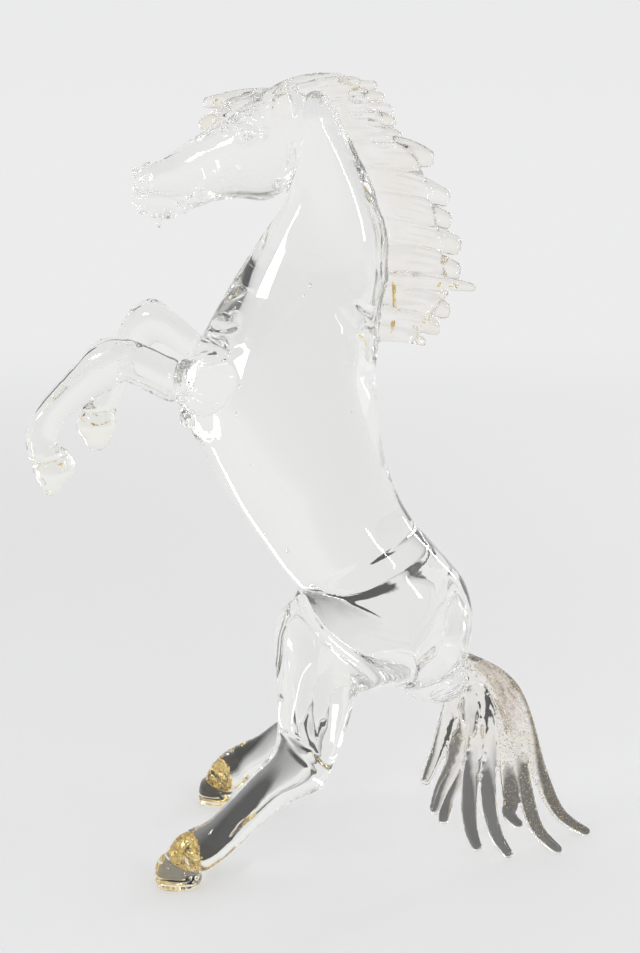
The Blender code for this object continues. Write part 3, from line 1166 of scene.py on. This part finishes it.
@dataclass(frozen=True)
class ClearGlass:
    """Clear glass, with a breath of pink and gold in the hair and amber in the hooves."""

    ior: float = 1.5
    roughness: float = 0.0
    clear: Row = (0.985, 0.99, 0.97, 1.0)
    hair: Tone = Tone((0.985, 0.98, 0.965), (0.95, 0.92, 0.86), 60.0)
    hoof: Tone = Tone((1.0, 0.97, 0.86), (1.0, 0.87, 0.55), 110.0)
    shadow: Row = (0.86, 0.87, 0.86, 1.0)
    ripple: float = 0.06
    ripple_height: float = 0.004
    ripples_per_metre: float = 38.0

    def build(self) -> bpy.types.Material:
        """Makes the glass, tinted in the hair and the hooves.

        Returns:
            The material.
        """
        material, graph = new_material(SLOT)
        graph.put(f"{SHADER}.IOR", self.ior)
        graph.put(f"{SHADER}.Roughness", self.roughness)
        graph.put(f"{SHADER}.Transmission Weight", 1.0)
        before = None
        for zone, tone in ((Zone.HAIR, self.hair), (Zone.HOOF, self.hoof)):
            share, mix, shade = f"{zone.value} share", f"{zone.value} mix", f"{zone.value} tone"
            graph.add("ShaderNodeAttribute", share, attribute_name=zone.value)
            tone.place(graph, shade)
            graph.add("ShaderNodeMix", mix, data_type="RGBA", A=self.clear)
            graph.join(f"{share}.Fac > {mix}.Factor", f"{shade}.Color > {mix}.B")
            if before:
                graph.join(f"{before}.Result > {mix}.A")
            before = mix
        graph.join(f"{before}.Result > {SHADER}.Base Color")
        self.ripple_surface(graph)
        self.let_lamps_through(graph)
        return material

    def ripple_surface(self, graph: Graph) -> None:
        """The faint waves that the torch leaves on the skin.

        Args:
            graph: The material's nodes.
        """
        graph.add("ShaderNodeTexCoord", "place")
        graph.add("ShaderNodeTexNoise", "waves", Scale=self.ripples_per_metre, Detail=1.0, Roughness=0.4)
        graph.add("ShaderNodeBump", "ripple", Strength=self.ripple, Distance=self.ripple_height)
        graph.join(
            "place.Object > waves.Vector",
            "waves.Fac > ripple.Height",
            f"ripple.Normal > {SHADER}.Normal",
        )

    def let_lamps_through(self, graph: Graph) -> None:
        """Lets light from the lamps pass the glass, so that its shadow is pale.

        Args:
            graph: The material's nodes.
        """
        graph.add("ShaderNodeLightPath", "path")
        graph.add("ShaderNodeBsdfTransparent", "clear", Color=self.shadow)
        graph.add("ShaderNodeMixShader", "choice")
        graph.join(
            f"path.{Look.SHADOW.value} > choice.0",
            f"{SHADER}.BSDF > choice.1",
            "clear.BSDF > choice.2",
            "choice.Shader > Material Output.Surface",
        )


@dataclass(frozen=True)
class Finish:
    """A clouded finish sealed in the glass: metal leaf or dust, or a milky film that covers only in part."""

    name: str
    tone: Tone
    roughness: float = 0.28
    metallic: float = 1.0
    cover: float = 1.0

    def build(self) -> bpy.types.Material:
        """Makes the finish.

        Returns:
            The material.
        """
        material, graph = new_material(self.name)
        graph.put(f"{SHADER}.Metallic", self.metallic)
        graph.put(f"{SHADER}.Roughness", self.roughness)
        graph.put(f"{SHADER}.Alpha", self.cover)
        self.tone.place(graph, "tone")
        graph.join(f"tone.Color > {SHADER}.Base Color")
        return material


def placed(name: str, data: bpy.types.ID) -> bpy.types.Object:
    """A new object in the scene.

    Args:
        name: Its name.
        data: Its mesh, lamp or camera.

    Returns:
        The object.
    """
    made = bpy.data.objects.new(name, data)
    bpy.context.scene.collection.objects.link(made)
    return made


def baked(host: bpy.types.Object) -> bpy.types.Mesh:
    """The plain mesh that an object's modifiers make."""
    return bpy.data.meshes.new_from_object(host.evaluated_get(bpy.context.evaluated_depsgraph_get()))


def mesh_object(name: str, parts: Iterable[Form | Bead]) -> bpy.types.Object:
    """An object in metres of one or more forms.

    Args:
        name: Its name.
        parts: The forms.

    Returns:
        The object.
    """
    points, faces, offset = [], [], 0
    for part in parts:
        own_points, own_faces = part.build()
        points.append(own_points * MM)
        faces += [tuple(i + offset for i in face) for face in own_faces]
        offset += len(own_points)
    mesh = bpy.data.meshes.new(name)
    mesh.from_pydata(np.vstack(points).tolist(), [], faces)
    outward = bmesh.new()
    outward.from_mesh(mesh)
    bmesh.ops.recalc_face_normals(outward, faces=outward.faces)
    outward.to_mesh(mesh)
    outward.free()
    return placed(name, mesh)


class Recipe:
    """A Geometry Nodes tree with named inputs that turns a hidden host into one plain piece."""

    def __init__(self, name: str, inputs: dict[str, float | int]) -> None:
        """Starts the tree.

        Args:
            name: Its name.
            inputs: Its named inputs with their values; whole numbers are seeds.
        """
        self.graph = Graph(bpy.data.node_groups.new(name, "GeometryNodeTree"))
        interface = self.graph.tree.interface
        interface.new_socket("Geometry", in_out="INPUT", socket_type="NodeSocketGeometry")
        self.values = {}
        for title, value in inputs.items():
            kind = "NodeSocketInt" if isinstance(value, int) else "NodeSocketFloat"
            self.values[interface.new_socket(title, in_out="INPUT", socket_type=kind).identifier] = value
        interface.new_socket("Geometry", in_out="OUTPUT", socket_type="NodeSocketGeometry")
        self.graph.add("NodeGroupInput", "in")
        self.graph.add("NodeGroupOutput", "out")

    def close(self, last: str, material: bpy.types.Material) -> None:
        """Ends the tree with real geometry that wears its material.

        Args:
            last: The node and the output that hold the geometry so far.
            material: What it is made of.
        """
        self.graph.add("GeometryNodeRealizeInstances", "realize")
        self.graph.add("GeometryNodeSetMaterial", "dress", Material=material)
        self.graph.join(f"{last} > realize.Geometry", "realize.Geometry > dress.Geometry")
        self.graph.join("dress.Geometry > out.Geometry")

    def apply(self, host: bpy.types.Object, name: str) -> bpy.types.Object:
        """Runs the tree on a host, which it replaces with a plain mesh.

        Args:
            host: The form that the tree works on.
            name: The name of the piece.

        Returns:
            The piece.
        """
        modifier = host.modifiers.new("recipe", "NODES")
        modifier.node_group = self.graph.tree
        for identifier, value in self.values.items():
            modifier[identifier] = value
        mesh = baked(host)
        mesh.name = name
        bpy.data.objects.remove(host)
        return placed(name, mesh)


@dataclass(frozen=True)
class Flakes:
    """Thin six-sided flakes strewn over a hidden host."""

    density: float
    size: float = 0.0008
    seed: int = 1
    flatness: float = 0.12
    least: float = 0.4

    def make(self, host: bpy.types.Object, name: str, material: bpy.types.Material) -> bpy.types.Object:
        """The flakes as one piece.

        Args:
            host: The hidden form, which is removed.
            name: Its name.
            material: What it is made of.

        Returns:
            The piece.
        """
        inputs = {"Density": self.density, "Size": self.size, "Flatness": self.flatness}
        recipe = Recipe("strewn flakes", {**inputs, "Least": self.least, "Seed": self.seed})
        graph = recipe.graph
        graph.add("GeometryNodeDistributePointsOnFaces", "strew")
        graph.add("ShaderNodeMath", "height", operation="MULTIPLY")
        graph.add("GeometryNodeMeshCylinder", "flake", Vertices=6)
        graph.add("FunctionNodeRandomValue", "turn", data_type="FLOAT_VECTOR", Max=(math.tau,) * 3)
        graph.add("FunctionNodeRandomValue", "grade", data_type="FLOAT")
        graph.add("GeometryNodeInstanceOnPoints", "place")
        graph.join(
            "in.Geometry > strew.Mesh",
            "in.Density > strew.Density",
            "in.Seed > strew.Seed",
            "in.Seed > turn.Seed",
            "in.Seed > grade.Seed",
            "in.Size > height.0",
            "in.Flatness > height.1",
            "in.Size > flake.Radius",
            "height.Value > flake.Depth",
            "in.Least > grade.Min",
            "strew.Points > place.Points",
            "flake.Mesh > place.Instance",
            "turn.Value > place.Rotation",
            "grade.Value > place.Scale",
        )
        recipe.close("place.Instances", material)
        return recipe.apply(host, name)


@dataclass(frozen=True)
class TornFilm:
    """A film stretched over a hidden host until it wrinkles and tears into scales."""

    cell: float = 0.0035
    tear: float = 0.06
    bare: float = 0.45
    patch: float = 0.006
    wrinkle: float = 0.0008
    thickness: float = 0.00008
    seed: int = 1

    def make(self, host: bpy.types.Object, name: str, material: bpy.types.Material) -> bpy.types.Object:
        """The film as one piece.

        Args:
            host: The hidden form, which is removed.
            name: Its name.
            material: What it is made of.

        Returns:
            The piece.
        """
        inputs = {
            "Cells": 1 / self.cell,
            "Tear": self.tear,
            "Bare": self.bare,
            "Patches": 1 / self.patch,
            "Wrinkle": self.wrinkle,
            "Thickness": self.thickness,
            "Seed": self.seed,
        }
        recipe = Recipe("torn film", inputs)
        graph = recipe.graph
        graph.add("GeometryNodeInputPosition", "place")
        graph.add("ShaderNodeVectorMath", "seeded", operation="ADD")
        graph.add("ShaderNodeTexVoronoi", "cracks", feature="DISTANCE_TO_EDGE")
        graph.add("ShaderNodeTexNoise", "patches", Detail=2.0)
        graph.add("FunctionNodeCompare", "is crack", operation="LESS_THAN")
        graph.add("FunctionNodeCompare", "is bare", operation="LESS_THAN")
        graph.add("FunctionNodeBooleanMath", "either", operation="OR")
        graph.add("GeometryNodeDeleteGeometry", "tear", domain="FACE")
        graph.join(
            "place.Position > seeded.0",
            "in.Seed > seeded.1",
            "seeded.Vector > cracks.Vector",
            "seeded.Vector > patches.Vector",
            "in.Cells > cracks.Scale",
            "in.Patches > patches.Scale",
            "cracks.Distance > is crack.A",
            "in.Tear > is crack.B",
            "patches.Fac > is bare.A",
            "in.Bare > is bare.B",
            "is crack.Result > either.0",
            "is bare.Result > either.1",
            "in.Geometry > tear.Geometry",
            "either.Boolean > tear.Selection",
        )
        self.wrinkle_and_thicken(graph)
        recipe.close("weld.Geometry", material)
        return recipe.apply(host, name)

    def wrinkle_and_thicken(self, graph: Graph) -> None:
        """Adds the wrinkles and closes the film to a thin solid.

        Args:
            graph: The recipe's nodes.
        """
        graph.add("GeometryNodeInputNormal", "normal")
        graph.add("ShaderNodeMath", "centred", operation="SUBTRACT")
        graph.put("centred.1", 0.5)
        graph.add("ShaderNodeMath", "height", operation="MULTIPLY")
        graph.add("ShaderNodeVectorMath", "offset", operation="SCALE")
        graph.add("GeometryNodeSetPosition", "wrinkle")
        graph.add("GeometryNodeExtrudeMesh", "raise", mode="FACES", Individual=False)
        graph.add("GeometryNodeFlipFaces", "back")
        graph.add("GeometryNodeJoinGeometry", "both")
        graph.add("GeometryNodeMergeByDistance", "weld", Distance=1e-6)
        graph.join(
            "patches.Fac > centred.0",
            "centred.Value > height.0",
            "in.Wrinkle > height.1",
            "normal.Normal > offset.0",
            "height.Value > offset.Scale",
            "tear.Geometry > wrinkle.Geometry",
            "offset.Vector > wrinkle.Offset",
            "wrinkle.Geometry > raise.Mesh",
            "in.Thickness > raise.Offset Scale",
            "wrinkle.Geometry > back.Mesh",
            "raise.Mesh > both.Geometry",
            "back.Mesh > both.Geometry",
            "both.Geometry > weld.Geometry",
        )


GOLD = Finish("gold_leaf", Tone((1.0, 0.86, 0.44), (0.90, 0.66, 0.22), 520.0))
AMBER = Finish("amber_leaf", Tone((0.95, 0.78, 0.44), (0.78, 0.58, 0.24), 300.0), roughness=0.4)
DUST = Finish("gold_dust", Tone((0.88, 0.76, 0.50), (0.58, 0.45, 0.26), 500.0), roughness=0.4)
FILM_TONE = Tone((0.98, 0.93, 0.90), (0.93, 0.82, 0.75), 260.0)
BLUSH = Finish("blush_film", FILM_TONE, roughness=0.35, metallic=0.0, cover=0.35)


@dataclass
class HoofGold:
    """Leaf folded into the hooves: name, centre, radii, the share left bare, and the seed."""

    leaves: Sequence[tuple[str, Row, Row, float, int]] = (
        ("near_hind_hoof_leaf", (-64.0, -56.0, 17.0), (6.6, 6.6, 8.6), 0.44, 3),
        ("far_hind_hoof_leaf", (-62.5, 56.0, 16.5), (6.2, 6.2, 8.0), 0.44, 7),
        ("near_fore_hoof_leaf", (-134.0, -32.2, 213.0), (6.0, 4.0, 2.6), 0.60, 11),
        ("far_fore_hoof_leaf", (-126.0, 31.9, 228.5), (6.0, 4.0, 2.6), 0.60, 17),
    )
    fleck_swell: float = 1.12

    def build(self) -> list[bpy.types.Object]:
        """Folds leaf into every hoof and strews flecks round the hind ones.

        Returns:
            A leaf for each hoof, and the flecks.
        """
        gold = GOLD.build()
        out = []
        for name, centre, radii, bare, seed in self.leaves:
            host = mesh_object(name, [Bead(centre, radii, fineness=5)])
            film = TornFilm(cell=0.0024, tear=0.05, bare=bare, patch=0.0045, wrinkle=0.0034, seed=seed)
            out.append(film.make(host, name, gold))
        hind = [leaf for leaf in self.leaves if "hind" in leaf[0]]
        swollen = [Bead(centre, [r * self.fleck_swell for r in radii]) for _, centre, radii, _, _ in hind]
        flecks = Flakes(density=1.6e5, size=0.0006, seed=31)
        out.append(flecks.make(mesh_object("hoof_flecks", swollen), "hoof_gold_flecks", gold))
        return out


@dataclass
class TailGold:
    """Gold dust drawn out with the outer strands, and the crackled film between them.

    A dusty row is the strand's number and its first and last rib with dust. The film's rows are ribs of a form.
    """

    tail: Tail
    depth_share: float = 0.62
    width_share: float = 0.5
    tip_share: float = 0.45
    dusty: Sequence[tuple[int, int, int]] = ((7, 0, 24), (6, 6, 22), (5, 5, 16))
    film: Sequence[Row] = (
        (82, 104, 88, 107, 0.5, 0.9),
        (90, 96, 98, 100, 1.0, 1.0),
        (95, 86, 104, 90, 1.5, 1.0),
        (99, 75, 109, 78, 2.0, 0.9),
        (101, 68, 110, 70, 2.0, 0.6),
    )

    def build(self) -> list[bpy.types.Object]:
        """Strews the dust and stretches the film.

        Returns:
            The dust and the film.
        """
        hosts = []
        depth, thickness = self.tail.depth * self.depth_share, self.tail.thickness * self.width_share
        for strand, first, last in self.dusty:
            ribs = lock_ribs(self.tail.paths()[strand], depth, thickness, self.tip_share)
            hosts.append(Form(ribs[first:last], steps=2, ring=24))
        dust = Flakes(density=5.5e5, size=0.00038, seed=5).make(
            mesh_object("tail_dust", hosts), "tail_gold_dust", DUST.build()
        )
        host = mesh_object("tail_film", [Form(self.film, steps=40, ring=160, end_round=0.5)])
        film = TornFilm(cell=0.0026, tear=0.05, bare=0.32, wrinkle=0.0012, seed=9)
        return [dust, film.make(host, "tail_blush_film", BLUSH.build())]


@dataclass
class ManeGold:
    """A few amber flakes in the mane, at x, y, z, and the amber edge at its root, as ribs of a form."""

    spots: Sequence[Row] = (
        (16, 0, 401.5),
        (21, 1, 404.5),
        (62, 1, 316),
        (61, 0, 305.5),
        (68, 0, 305),
        (54, 1, 287),
        (50, -1, 284),
        (-52, 0, 397),
    )
    spot_radii: Row = (2.4, 0.8, 1.2)
    root: Sequence[Row] = (
        (36.8, 306, 38.6, 305, 0, 1.4),
        (37.6, 298, 39.2, 297, 0, 1.8),
        (37.0, 288, 38.8, 287, 0, 1.8),
        (36.0, 282, 37.6, 281, 0, 1.4),
    )

    def build(self) -> list[bpy.types.Object]:
        """Strews the flakes and lays the edge.

        Returns:
            The flakes and the edge.
        """
        amber = AMBER.build()
        hosts = [Bead(spot, self.spot_radii) for spot in self.spots]
        flakes = Flakes(density=2.4e5, size=0.0007, seed=13)
        root = mesh_object("mane_root", [Form(self.root, steps=30, ring=60)])
        film = TornFilm(cell=0.003, bare=0.5, patch=0.004, wrinkle=0.0006, seed=21)
        return [
            flakes.make(mesh_object("mane_spots", hosts), "mane_amber_flakes", amber),
            film.make(root, "mane_amber_edge", amber),
        ]


@dataclass
class SeedBubbles:
    """Small bubbles left in the body: x, y, z and radius."""

    bubbles: Sequence[Row] = (
        (-4, -8, 305, 1.0),
        (-7, -5, 299, 0.6),
        (-38, 4, 250, 0.9),
        (-39, -6, 240, 0.8),
        (-21, -4, 181, 0.6),
        (-9, 5, 172, 0.7),
        (-15, -9, 156, 0.5),
        (-30, 10, 214, 0.5),
        (12, -6, 240, 0.45),
    )
    stretch: float = 1.25

    def build(self, material: bpy.types.Material) -> bpy.types.Object:
        """All bubbles as one piece.

        Args:
            material: The glass.

        Returns:
            The piece.
        """
        beads = [Bead(row[:3], (row[3], row[3], row[3] * self.stretch), fineness=3) for row in self.bubbles]
        piece = mesh_object("seed_bubbles", beads)
        piece.data.materials.append(material)
        piece.data.shade_smooth()
        return piece


@dataclass(frozen=True)
class Lamp:
    """A soft rectangular lamp aimed at the horse: place and size in metres, power in watts."""

    name: str
    place: Row
    size: Row
    power: float

    def build(self, aim: Vector) -> None:
        """Hangs the lamp.

        Args:
            aim: The point that it is turned to.
        """
        data = bpy.data.lights.new(self.name, "AREA")
        data.shape = "RECTANGLE"
        data.size, data.size_y = self.size
        data.energy = self.power
        lamp = placed(self.name, data)
        lamp.location = self.place
        lamp.rotation_euler = (aim - Vector(self.place)).to_track_quat("-Z", "Y").to_euler()


@dataclass(frozen=True)
class Shade:
    """A painted shade: a grey oval on the floor that glows its tone and that only rays bent through the glass
    see, so that it paints dark bands into the glass: place, radii and tone.
    """

    name: str
    centre: Row
    radii: Row
    tone: float
    edge: float = 0.05

    def build(self, graph: Graph) -> None:
        """Adds the painted shade's mask and its glowing tone to the floor's material, for rays through the
        glass only.

        Args:
            graph: The floor's nodes.
        """
        name = self.name
        graph.add("ShaderNodeVectorMath", f"{name} offset", operation="SUBTRACT")
        graph.add("ShaderNodeVectorMath", f"{name} place", operation="DIVIDE")
        graph.add("ShaderNodeVectorMath", f"{name} reach", operation="LENGTH")
        graph.add("ShaderNodeMapRange", f"{name} mask", From_Min=1.0, From_Max=1.0 - self.edge)
        graph.add("ShaderNodeMath", f"{name} seen through", operation="MULTIPLY")
        # Painted shade: the oval glows its grey tone, and only rays through the glass see it.
        graph.add("ShaderNodeEmission", name, Color=(self.tone, self.tone, self.tone, 1.0))
        graph.add("ShaderNodeMixShader", f"{name} mix")
        graph.put(f"{name} offset.1", (*self.centre, 0.0))
        graph.put(f"{name} place.1", (*self.radii, 1.0))
        graph.join(
            f"here.Position > {name} offset.0",
            f"{name} offset.Vector > {name} place.0",
            f"{name} place.Vector > {name} reach.0",
            f"{name} reach.Value > {name} mask.Value",
            f"path.{Look.THROUGH_GLASS.value} > {name} seen through.0",
            f"{name} mask.Result > {name} seen through.1",
            f"{name} seen through.Value > {name} mix.0",
            f"{name}.Emission > {name} mix.2",
        )


@dataclass
class Studio:
    """A plain pale floor that runs into a pale room, with soft light around the horse, and painted shade that
    only rays through the glass see.
    """

    distance: float = 0.85
    height: float = 0.37
    turn: float = math.radians(5)
    aim: Vector = field(default_factory=lambda: Vector((0.0, 0.0, 0.205)))
    focal_pixels: float = 1650.0
    image_height: float = 953.0
    sensor: float = 36.0
    nearest: float = 0.05
    bounces: int = 24
    mirror_bounces: int = 12
    floor_radius: float = 6.0
    floor_tone: Row = (0.88, 0.88, 0.88, 1.0)
    floor_roughness: float = 0.7
    floor_fade: Row = (0.25, 2.6)
    horizon: Row = (0.84, 0.84, 0.845, 1.0)
    overhead: Row = (0.70, 0.70, 0.71, 1.0)
    # Painted shade in the glass: the room as only rays through the glass see it, darker towards the top.
    refracted: Sequence[tuple[float, float]] = ((0.0, 0.85), (0.75, 0.79), (0.93, 0.5), (1.0, 0.3))
    # Painted shades: grey ovals on the floor that glow and show only to rays through the glass, painting dark
    # bands into it.
    painted_shades: Sequence[Shade] = (
        Shade("leg card", (-0.03, 0.0), (0.22, 0.2), 0.2, 0.75),
        Shade("tail card", (0.11, 0.045), (0.09, 0.105), 0.14, 0.3),
        Shade("haunch card", (-0.156, 0.045), (0.172, 0.096), 0.05, 0.15),
        Shade("flank card", (0.02, 0.26), (0.066, 0.05), 0.05, 0.2),
    )
    lamps: Sequence[Lamp] = (
        Lamp("window", (-1.3, -1.2, 1.1), (0.45, 0.24), 6.0),
        Lamp("side strip", (1.3, -1.0, 0.9), (0.1, 0.7), 3.5),
        Lamp("back strip", (1.2, 1.4, 1.0), (0.12, 0.9), 4.0),
    )

    def camera(self) -> None:
        """The camera at the photograph's angle."""
        data = bpy.data.cameras.new("camera")
        data.sensor_width = self.sensor
        data.lens = self.focal_pixels / self.image_height * self.sensor
        data.clip_start = self.nearest
        camera = placed("camera", data)
        x, y = math.sin(self.turn) * self.distance, -math.cos(self.turn) * self.distance
        camera.location = (x, y, self.height)
        camera.rotation_euler = (self.aim - camera.location).to_track_quat("-Z", "Y").to_euler()
        bpy.context.scene.camera = camera

    def floor(self) -> None:
        """A wide pale floor that fades into the room, with the painted shades: grey ovals that only rays
        through the glass see, which paint dark bands into the glass.
        """
        mesh = bmesh.new()
        bmesh.ops.create_circle(mesh, segments=96, radius=self.floor_radius, cap_ends=True)
        data = bpy.data.meshes.new("floor")
        mesh.to_mesh(data)
        mesh.free()
        floor = placed("floor", data)
        material, graph = new_material("pale_floor")
        graph.put(f"{SHADER}.Base Color", self.floor_tone)
        graph.put(f"{SHADER}.Roughness", self.floor_roughness)
        graph.add("ShaderNodeEmission", "room", Color=self.horizon)
        graph.add("ShaderNodeNewGeometry", "here")
        graph.add("ShaderNodeVectorMath", "reach", operation="LENGTH")
        near, far = self.floor_fade
        graph.add("ShaderNodeMapRange", "fade", interpolation_type="SMOOTHSTEP", From_Min=near, From_Max=far)
        graph.add("ShaderNodeLightPath", "path")
        graph.add("ShaderNodeMixShader", "far floor")
        graph.join(
            "here.Position > reach.0",
            "reach.Value > fade.Value",
            "fade.Result > far floor.0",
            f"{SHADER}.BSDF > far floor.1",
            "room.Emission > far floor.2",
        )
        before = "far floor"
        for shade in self.painted_shades:
            shade.build(graph)
            graph.join(f"{before}.Shader > {shade.name} mix.1")
            before = f"{shade.name} mix"
        graph.join(f"{before}.Shader > Material Output.Surface")
        data.materials.append(material)
        floor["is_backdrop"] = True

    def room(self) -> None:
        """A pale room, with painted shade in the glass: rays through the glass see it darker overhead than the
        camera does.
        """
        world = bpy.data.worlds.new("pale_room")
        world.use_nodes = True
        bpy.context.scene.world = world
        graph = Graph(world.node_tree)
        graph.add("ShaderNodeTexCoord", "where")
        graph.add("ShaderNodeSeparateXYZ", "split")
        graph.add("ShaderNodeMix", "plain", data_type="RGBA", A=self.horizon, B=self.overhead)
        # Painted shade: a darker ramp by height that only rays through the glass see.
        ramp = graph.add("ShaderNodeValToRGB", "refracted").color_ramp
        for i, (place, grey) in enumerate(self.refracted):
            stop = ramp.elements[i] if i < 2 else ramp.elements.new(place)
            stop.position = place
            stop.color = (grey, grey, grey, 1.0)
        graph.add("ShaderNodeLightPath", "path")
        graph.add("ShaderNodeMix", "choice", data_type="RGBA")
        graph.join(
            "where.Generated > split.Vector",
            "split.Z > plain.Factor",
            "split.Z > refracted.Fac",
            f"path.{Look.THROUGH_GLASS.value} > choice.Factor",
            "plain.Result > choice.A",
            "refracted.Color > choice.B",
            "choice.Result > Background.Color",
        )

    def build(self) -> None:
        """Camera, floor, room and lamps."""
        self.camera()
        self.floor()
        self.room()
        for lamp in self.lamps:
            lamp.build(self.aim)
        scene = bpy.context.scene
        scene.view_settings.view_transform = "Standard"
        scene.cycles.max_bounces = self.bounces
        scene.cycles.transmission_bounces = self.bounces
        scene.cycles.glossy_bounces = self.mirror_bounces
        scene.cycles.transparent_max_bounces = self.bounces


def seal(pieces: Iterable[bpy.types.Object]) -> None:
    """Makes pieces ride on the body."""
    for piece in pieces:
        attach(piece, BODY)
        LOG.info("%s: %d faces", piece.name, len(piece.data.polygons))


def main() -> None:
    """Builds the studio and the horse around the frame."""
    logging.basicConfig(level=logging.INFO, format="%(name)s: %(message)s")
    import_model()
    cad_low, cad_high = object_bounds()
    Studio().build()
    glass = ClearGlass().build()
    design = GlassHorse()
    horse = design.build(cad_low, cad_high, glass)
    seal([horse])
    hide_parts(NODE)
    seal(HoofGold().build())
    seal(TailGold(design.tail).build())
    seal(ManeGold().build())
    seal([SeedBubbles().build(glass)])


if __name__ == "__main__":
    main()
